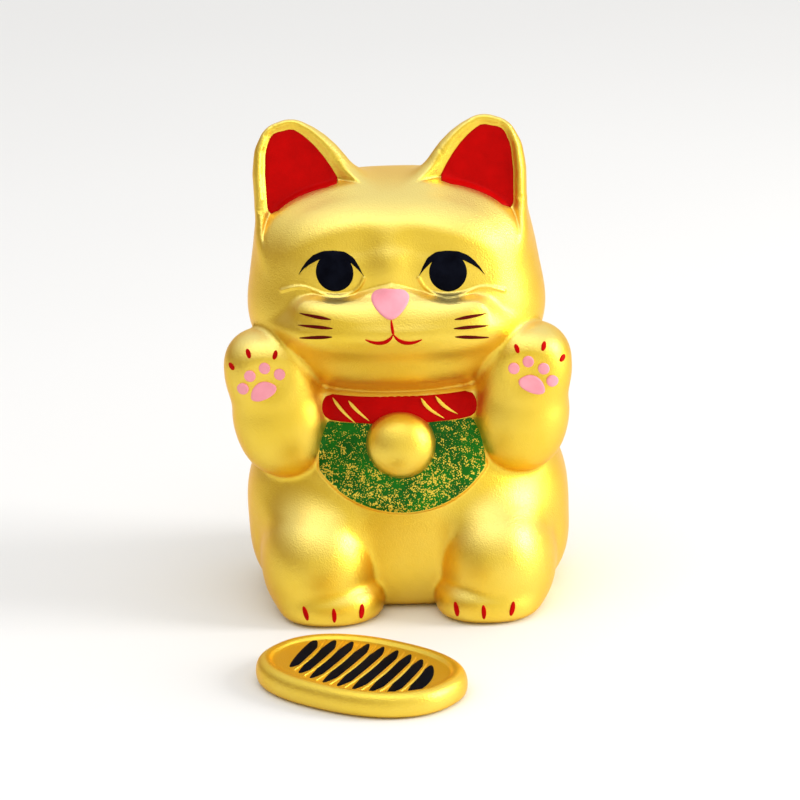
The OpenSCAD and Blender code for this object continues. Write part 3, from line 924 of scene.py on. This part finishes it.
def eye(side):
    middle = np.array(on_face([(side * EYE[0], EYE[1])])[0])
    iris = drop(circle(middle, 4.1, 4.2), middle, 0.34)
    line = on_side([(EYE[0] + x, EYE[1] + z) for x, z in LASH], side)
    lash = stroke(on_face(line), LASH_WIDE, 0.36)
    paint("right_eye" if side > 0 else "left_eye", [iris, lash], black)


for side in (1, -1):
    eye(side)

# %% Nose and mouth
NOSE = [(0, 70.4), (1.3, 70.9), (2.8, 72.2), (4.1, 74.0), (4.2, 75.0), (3.3, 75.9), (1.7, 76.4),
        (0, 76.6)]
nose_outline = [(x - 0.4, z - 0.7) for x, z in rounded(NOSE + flip(NOSE[1:-1])[::-1], times=2)]
nose = drop(nose_outline, np.array((-0.4, 73.0)), 0.5, 0.4)
paint("nose", [nose], pink)

SMILE = rounded([(0.0, 66.9), (0.9, 65.6), (2.4, 64.9), (4.2, 64.9), (6.2, 65.7)], closed=False)
smile_wide = swell(SMILE, (0, 0.4, 1), (0.75, 0.85, 0.5))
mouth = [stroke([(-0.35, 69.9), (-0.2, 68.3), (0, 66.7)], (0.5, 0.65, 0.8), 0.3),
         stroke(on_face(SMILE), smile_wide, 0.3), stroke(on_face(flip(SMILE)), smile_wide, 0.3)]
paint("mouth", mouth, red)

# %% Whiskers
for side, name in ((1, "right_whiskers"), (-1, "left_whiskers")):
    strokes = []
    for inner, outer in (((13.3, 69.8), (20.4, 70.5)), ((13.0, 67.9), (20.8, 68.0)),
                         ((13.2, 66.1), (20.6, 65.3))):
        path = rounded([inner, (17, (inner[1] + outer[1]) / 2 + 0.1), outer], closed=False)
        wide = swell(path, (0, 0.35, 1), (0.6, 0.8, 0.35))
        strokes.append(stroke(on_face(on_side(path, side)), wide, 0.24))
    paint(name, strokes, maroon)

# %% [markdown]
# ## Ear linings
# The lining fills the sunken floor of the ear up to the foot of the bevel, and stops where the
# forehead crosses in front of it.

# %% Ear linings
def lining_outline(n=72):
    """Front-view points where the ear's floor ends, at the bevel or at the forehead."""
    middle = np.array((20.6, 96.5))
    angles = np.linspace(0, 2 * np.pi, n, endpoint=False)
    ray = np.column_stack([np.cos(angles), np.sin(angles)])

    def on_floor(reach):
        q = middle + reach[:, None] * ray
        floor = np.column_stack([q[:, 0], ear_floor(q), q[:, 1]])
        return (ear_inside(q) > RIM + bevel(q) + 0.1) & (body_clay(floor) > 0.2)

    reach = reach_along(on_floor, n, 18.0, 14)
    return [tuple(q) for q in middle + reach[:, None] * ray], middle


for side, name in ((1, "right_ear_lining"), (-1, "left_ear_lining")):
    outline, middle = lining_outline()
    lining = drop(on_side(outline, side), middle * (side, 1), 0.25, 0.4)
    paint(name, [lining], red)

# %% [markdown]
# ## Collar, bib and bell
# The collar and the bib are already raised in the clay, and the enamel covers all but a hair of
# their edges, which stay gold. The bib is green, spattered with gold.

# %% Collar
def collar_panel():
    """A bar with round ends along the front of the roll."""
    half_w, half_h = COLLAR_END - 0.5, COLLAR_HALF - 0.15
    pts = []
    for a in np.linspace(-90, 90, 13):
        x = half_w - half_h * 0.75 + half_h * 0.75 * math.cos(math.radians(a))
        pts.append((x, half_h * math.sin(math.radians(a))))
    pts += [(x, half_h) for x in np.linspace(half_w * 0.8, -half_w * 0.8, 18)]
    pts += [(-x, -z) for x, z in pts[:13]]
    pts += [(x, -half_h) for x in np.linspace(-half_w * 0.8, half_w * 0.8, 18)]
    drop_by = [COLLAR_DROOP * math.cos(math.asin(x / 28)) for x, _ in pts]
    return [(x, COLLAR_Z - d + z) for (x, z), d in zip(pts, drop_by)]


THROAT_Z = COLLAR_Z - COLLAR_DROOP
collar = drop(collar_panel(), np.array((0, THROAT_Z)), 0.3, 0.4, rings=24, segments=120)
paint("collar_front", [collar], red, "collar")

# %% Gold strokes on the collar
STRIPES = [((-14.6, 2.7), (-12.9, 0.2), (-9.6, -3.0)), ((-11.1, 2.3), (-9.5, 0.3), (-6.6, -2.3)),
           ((4.9, 2.8), (6.3, 0.4), (9.9, -2.3)), ((8.1, 3.0), (9.8, 0.6), (12.9, -1.6))]


def collar_top(p):
    """The collar's enamel, as a surface for the strokes to lie on."""
    return cat_clay(p) - 0.28


stripes = []
for line in STRIPES:
    path = rounded([(x, THROAT_Z + z) for x, z in line], closed=False)
    wide = swell(path, (0, 0.3, 1), (0.5, 0.95, 0.25))
    stripes.append(stroke(path, wide, 0.14, 0.2, clay=collar_top))
finish_piece("collar_strokes", gather(stripes, "stripes"), plain_gold,
             stands_for=("collar_stripes",))

# %% Back of the collar
def back_roll():
    """The roll's enamel round the back, laid on in turns about the spine."""
    bm = ball(24, 96, turned=True)
    p = np.array([v.co for v in bm.verts])
    polar = np.arcsin(np.clip(p[:, 2], -1, 1))
    turn = np.pi + np.sin(polar) * math.radians(76)
    round_end = np.maximum(np.cos(polar), 1e-4)
    across = p[:, 0] / round_end
    taper = round_end ** 0.2
    direction = np.column_stack([np.sin(turn), -np.cos(turn), np.zeros(len(turn))])
    height = COLLAR_Z - COLLAR_DROOP * np.cos(turn) + across * taper * (COLLAR_HALF - 0.2)
    start = 50 * direction + np.column_stack([0 * turn, 0 * turn, height])
    on = first_hit(start, -direction, cat_clay)
    _, slope = downhill(on)
    lift = drop_lift(p[:, 1] / round_end * taper, 0.3, 0.4, 3.0)
    return moved(bm, on + lift[:, None] * slope)


paint("collar_back", [back_roll()], red)

# %% [markdown]
# The bib's gold looks spattered on, so the flecks have all sizes and crowd in places. A cell
# pattern gives each cell a dot, a noise makes the dots ragged, and two broader noises and the
# height decide where they are large enough to show.

# %% Bib material
def spattered_green():
    """Green enamel with gold flecks, which crowd towards the hem."""
    mat, tree, shader, coords = material("green_spattered_enamel")
    place = tree.nodes.new("ShaderNodeSeparateXYZ")
    tree.links.new(coords, place.inputs["Vector"])
    flow = noise(tree, coords, 120, 4)
    colour = blend_colour(tree, spread(tree, flow, 0.3, 0.7), (0.001, 0.07, 0.003),
                          (0.006, 0.19, 0.005))
    cells = add(tree, "ShaderNodeTexVoronoi", Scale=2700.0, Randomness=1.0)
    wobble = add(tree, "ShaderNodeTexNoise", Scale=900.0, Detail=3.0)
    tree.links.new(coords, wobble.inputs["Vector"])
    shift = tree.nodes.new("ShaderNodeVectorMath")
    shift.operation = "MULTIPLY_ADD"
    tree.links.new(wobble.outputs["Color"], shift.inputs[0])
    shift.inputs[1].default_value = (0.0007, 0.0007, 0.0007)
    tree.links.new(coords, shift.inputs[2])
    tree.links.new(shift.outputs["Vector"], cells.inputs["Vector"])
    chance = noise(tree, coords, 760)
    clouds = noise(tree, coords, 150, 2)
    low = spread(tree, place.outputs["Z"], 0.043, 0.027, 0.0, 0.16)
    size = sum_of(tree, low, spread(tree, clouds, 0.35, 0.65, -0.03, 0.08))
    limit = sum_of(tree, size, spread(tree, chance, 0.4, 0.62, 0.10, 0.42))
    nearer = sum_of(tree, limit, cells.outputs["Distance"], "SUBTRACT")
    fleck = spread(tree, nearer, 0.0, 0.06)
    tree.links.new(blend_colour(tree, fleck, colour, (0.84, 0.62, 0.07)),
                   shader.inputs["Base Color"])
    tree.links.new(fleck, shader.inputs["Metallic"])
    tree.links.new(spread(tree, flow, 0.3, 0.7, 0.28, 0.4), shader.inputs["Roughness"])
    tree.links.new(bump(tree, fleck, 0.35, 0.0001), shader.inputs["Normal"])
    set_inputs(shader, Specular_IOR_Level=0.15)
    return mat


green = spattered_green()

# %% Bib
BIB_INSET = 0.45
PANEL_TOP = COLLAR_Z - 4.3
panel = [(x, min(z, PANEL_TOP)) for x, z in bib_outline(BIB_INSET)]
top_edge = [(x, PANEL_TOP) for x in np.linspace(14, -14, 15)]
whole_panel = panel[:-1] + top_edge + flip(panel[1:-1])[::-1]
bib = drop(whole_panel, np.array((0, 36.0)), 0.22, 0.4, rings=36, segments=160)
paint("bib", [bib], green)

# %% [markdown]
# The bell is a low dome with a rounded rim and a faint step inside it, as turned or pressed bells
# have. It is spun from a profile and set on the bib, leaning with the chest.

# %% Bell
BELL_Z = 39.7
BELL_PROFILE = [(7.7, -2.4), (7.75, 0.2), (7.55, 1.5), (7.1, 2.7), (6.5, 3.55), (6.1, 3.95),
                (5.85, 4.25), (4.9, 5.15), (3.5, 5.95), (1.8, 6.45), (0, 6.6)]


def bell():
    """The profile spun round, and set on the chest at the chest's own slope."""
    half = 3.75
    chest = laid_on(np.array([(0, BELL_Z + half), (0, BELL_Z), (0, BELL_Z - half)]),
                    np.zeros(3), body_clay)
    lean = math.atan2(chest[0][1] - chest[2][1], 2 * half)
    bm = bmesh.new()
    verts = [bm.verts.new((r, 0, h)) for r, h in BELL_PROFILE]
    edges = [bm.edges.new(pair) for pair in zip(verts[:-1], verts[1:])]
    bmesh.ops.spin(bm, geom=verts + edges, cent=(0, 0, 0), axis=(0, 0, 1), angle=2 * math.pi,
                   steps=72, use_merge=True)
    bmesh.ops.remove_doubles(bm, verts=bm.verts, dist=0.01)
    open_rim = [e for e in bm.edges if e.is_boundary]
    bmesh.ops.contextual_create(bm, geom=open_rim)
    bmesh.ops.recalc_face_normals(bm, faces=bm.faces)
    place = Matrix.Translation(chest[1]) @ Matrix.Rotation(math.radians(90) - lean, 4, "X")
    bmesh.ops.transform(bm, matrix=place, verts=bm.verts)
    return as_mesh(bm, "bell")


def round_off(piece):
    """One level of subdivision, the same in the view and in the render."""
    rounding = piece.modifiers.new("rounding", "SUBSURF")
    rounding.levels = rounding.render_levels = 1


round_off(finish_piece("bell_dome", bell(), plain_gold, stands_for=("bell",)))

# %% [markdown]
# ## Paws
# Each palm has a pink pad with two lobes and four toe pads, and three red claws above. Each foot
# has three red claws.

# %% Pads and claws
PALM = np.array((28.8, 53.1))
MAIN_PAD = [(3.5, -1.4), (3.0, 0.5), (1.7, 1.8), (0.1, 2.2), (-1.3, 1.7), (-2.4, 1.0),
            (-2.2, -0.3), (-0.6, -1.5), (1.6, -2.3), (3.1, -2.1)]
TOE_PADS = [(5.0, 0.6), (3.3, 3.5), (0.0, 5.2), (-3.2, 3.7)]
PAW_CLAWS = [((7.0, 4.5), (7.8, 5.9)), ((3.2, 7.4), (3.7, 9.2)), ((-2.1, 7.1), (-2.7, 8.9))]
TOE_CLAWS = [((10.7, 2.0), (10.3, 5.3)), ((16.5, 1.8), (16.5, 5.1)), ((22.4, 2.2), (23.2, 5.4))]


def claw(path):
    path = rounded([path[0], tuple((np.array(path[0]) + path[1]) / 2 + (0.1, 0)), path[1]],
                   closed=False, times=1)
    return stroke(path, 1.05, 0.26)


for side, name in ((1, "right"), (-1, "left")):
    main = on_side([tuple(PALM + q) for q in rounded(MAIN_PAD, times=2)], side)
    pads = [drop(main, PALM * (side, 1), 0.45)]
    for toe in TOE_PADS:
        at = (PALM + toe) * (side, 1)
        pads.append(drop(circle(at, 1.25, 1.3, 28), at, 0.45, rings=12, segments=28))
    paint(name + "_paw_pads", pads, pink, name + "_pads")
    paw = [claw(on_side([tuple(PALM + a), tuple(PALM + b)], side)) for a, b in PAW_CLAWS]
    paint(name + "_paw_claws", paw, red)
    toes = [claw(on_side(list(path), side)) for path in TOE_CLAWS]
    paint(name + "_toe_claws", toes, red)

# %% [markdown]
# ## Coin
# The coin is a thick oval with a rounded rim and a sunken field. Its rings are extruded upwards one
# after another from an oval outline. In the field, black enamel lies between slanting gold ridges,
# a plain pattern that says nothing.

# %% Coin
coin_low, coin_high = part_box("coin")
COIN_AT = Vector(((coin_low.x + coin_high.x) / 2, (coin_low.y + coin_high.y) / 2, 0)) / MM
COIN_TURN = math.radians(-35)
COIN_HALF = (24.0, 16.5)
COIN_SQUARE = 0.86
COIN_RINGS = [(1.6, 0.0), (0.55, 0.35), (0.1, 1.3), (0.0, 2.7), (0.25, 4.1), (0.8, 4.95),
              (1.6, 5.4), (2.3, 5.5), (2.9, 5.35), (3.25, 4.95), (3.5, 4.65), (4.2, 4.6)]


def oval_at(angle, inset):
    c, s = math.cos(angle), math.sin(angle)
    return ((COIN_HALF[0] - inset) * math.copysign(abs(c) ** COIN_SQUARE, c),
            (COIN_HALF[1] - inset) * math.copysign(abs(s) ** COIN_SQUARE, s))


def coin(n=128):
    bm = bmesh.new()
    ring = bmesh.ops.create_circle(bm, segments=n, radius=1)["verts"]
    angles = [2 * math.pi * i / n for i in range(n)]
    for v, a in zip(ring, angles):
        v.co = (*oval_at(a, COIN_RINGS[0][0]), COIN_RINGS[0][1])
    bmesh.ops.contextual_create(bm, geom=ring)
    edges = list(bm.edges)
    for inset, z in COIN_RINGS[1:]:
        made = bmesh.ops.extrude_edge_only(bm, edges=edges)["geom"]
        verts = [g for g in made if isinstance(g, bmesh.types.BMVert)]
        edges = [g for g in made if isinstance(g, bmesh.types.BMEdge)]
        for v in verts:
            v.co = (*oval_at(angle_on_oval(v.co), inset), z)
    bmesh.ops.contextual_create(bm, geom=edges)
    bmesh.ops.recalc_face_normals(bm, faces=bm.faces)
    return bm


def angle_on_oval(co):
    """The angle whose oval point lies on the same ray, from a point of any ring."""
    c = math.copysign(abs(co.x / COIN_HALF[0]) ** (1 / COIN_SQUARE), co.x)
    s = math.copysign(abs(co.y / COIN_HALF[1]) ** (1 / COIN_SQUARE), co.y)
    return math.atan2(s, c)


def lay_coin(bm):
    place = Matrix.Translation(COIN_AT) @ Matrix.Rotation(COIN_TURN, 4, "Z")
    bmesh.ops.transform(bm, matrix=place, verts=bm.verts)
    return bm


coin_mesh = as_mesh(lay_coin(coin()), "coin")
round_off(finish_piece("coin_body", coin_mesh, plain_gold, "coin", ("coin",)))

# %% Ridges and enamel in the coin's field
FIELD_Z = 4.6
BARS, BAR_STEP = 9, 3.85


def bar(x, half, broad, tall, slant=-3.0, bow=0.8):
    """A slanting brush bar that lies on the field, tapered to both ends."""
    bm = ball(16, 36, turned=True)
    for v in bm.verts:
        t = math.asin(max(-1, min(1, v.co.z))) / (math.pi / 2)
        body = max(1e-4, math.cos(t * math.pi / 2))
        side = v.co.x / body
        up = -v.co.y / body
        wide = broad * body ** 0.6
        v.co = (x + slant * t + bow * (1 - t * t) + side * wide / 2, half * t,
                FIELD_Z + (tall * body ** 0.4 * max(up, 0) ** 0.8 if up > 0 else 0.3 * up))
    bmesh.ops.recalc_face_normals(bm, faces=bm.faces)
    return bm


def field_half(x, margin):
    return (COIN_HALF[1] - 3.4 - margin) * math.sqrt(max(0.05, 1 - (x / (COIN_HALF[0] - 3)) ** 2))


black_bars, gold_bars = [], []
for i in range(BARS):
    x = (i - BARS // 2) * BAR_STEP
    black_bars.append(lay_coin(bar(x, field_half(x, 0.8), 3.7, 0.22)))
    if i < BARS - 1:
        gap = x + 1.92
        gold_bars.append(lay_coin(bar(gap, field_half(gap, 0.6), 1.2, 0.5)))
finish_piece("coin_enamel", gather(black_bars, "inlay"), black, "coin", ("coin_inlay",))
finish_piece("coin_ridges", gather(gold_bars, "ridges"), plain_gold, "coin")

# %% [markdown]
# ## Underside
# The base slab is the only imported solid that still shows. It is bare fired clay with a thin wash of
# the lacquer, so it gets a rougher, paler gold.

# %% Base slab material
def washed_clay():
    mat, tree, shader, coords = material("washed_clay")
    patches = noise(tree, coords, 90, 5, 0.65)
    colour = blend_colour(tree, spread(tree, patches, 0.35, 0.65), (0.72, 0.60, 0.46),
                          (0.78, 0.58, 0.22))
    tree.links.new(colour, shader.inputs["Base Color"])
    tree.links.new(spread(tree, patches, 0.3, 0.7, 0.85, 0.55), shader.inputs["Roughness"])
    grain = noise(tree, coords, 1200, 3)
    tree.links.new(bump(tree, grain, 0.4, 0.0002), shader.inputs["Normal"])
    return mat


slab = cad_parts["base_slab"]
slab.data.materials.clear()
slab.data.materials.append(washed_clay())

# %% [markdown]
# ## Table, light and camera
# The figure stands on a plain pale surface in soft daylight that comes from above and from the
# right. Gold shows whatever surrounds it, so the surroundings matter: bright overhead, warmer at
# eye level, dark and brown to the left, with a soft panel at the right and another overhead.

# %% Table
def table_top():
    bm = bmesh.new()
    bmesh.ops.create_grid(bm, x_segments=2, y_segments=2, size=3.0)
    table = new_object("table", as_mesh(bm, "table"))
    mat, tree, shader, coords = material("white_table")
    tone = blend_colour(tree, noise(tree, coords, 3, 2), (0.84, 0.84, 0.835), (0.88, 0.88, 0.875))
    tree.links.new(tone, shader.inputs["Base Color"])
    set_inputs(shader, Roughness=0.7)
    table.data.materials.append(mat)


table_top()

# %% Surroundings
def surroundings():
    world = bpy.data.worlds.new("studio")
    bpy.context.scene.world = world
    world.use_nodes = True
    tree = world.node_tree
    sky = tree.nodes["Background"]
    coords = tree.nodes.new("ShaderNodeTexCoord").outputs["Generated"]
    parts = tree.nodes.new("ShaderNodeSeparateXYZ")
    tree.links.new(coords, parts.inputs["Vector"])
    up = spread(tree, parts.outputs["Z"], 0.15, 0.7)
    side = spread(tree, parts.outputs["X"], -0.8, 0.1)
    level = blend_colour(tree, side, (0.30, 0.18, 0.05), (0.92, 0.85, 0.56))
    tree.links.new(blend_colour(tree, up, level, (0.90, 0.92, 0.98)), sky.inputs["Color"])
    sky.inputs["Strength"].default_value = 1.0


def panel_light(name, at, size, power, aim=(0, 0, 0.05)):
    light = bpy.data.lights.new(name, "AREA")
    light.shape = "RECTANGLE"
    light.size, light.size_y = size
    light.energy = power
    light.color = (1.0, 0.98, 0.96)
    lamp = bpy.data.objects.new(name, light)
    bpy.context.scene.collection.objects.link(lamp)
    lamp.location = at
    lamp.rotation_euler = (Vector(aim) - Vector(at)).to_track_quat("-Z", "Y").to_euler()


surroundings()
panel_light("window", (0.85, -0.14, 0.36), (0.3, 0.5), 6.2)
panel_light("overhead", (-0.1, -0.35, 1.0), (1.1, 0.7), 2.3)

# %% Camera
def camera():
    """Looks down on the cat from in front, slightly from the right, with a long lens."""
    azimuth, elevation, roll = math.radians(2), math.radians(16), math.radians(-2)
    distance, view_width = 760, 176
    target = Vector((-0.4, -20, 49.2)) * MM
    back = Vector((math.sin(azimuth) * math.cos(elevation),
                   -math.cos(azimuth) * math.cos(elevation), math.sin(elevation)))
    data = bpy.data.cameras.new("camera")
    data.angle = 2 * math.atan(0.5 * view_width / distance)
    data.clip_start, data.clip_end = 0.02, 20
    cam = bpy.data.objects.new("camera", data)
    bpy.context.scene.collection.objects.link(cam)
    turn = (-back).to_track_quat("-Z", "Y").to_matrix().to_4x4() @ Matrix.Rotation(roll, 4, "Z")
    cam.matrix_world = Matrix.Translation(target + distance * MM * back) @ turn
    bpy.context.scene.camera = cam


camera()
bpy.context.scene.view_settings.view_transform = "Standard"
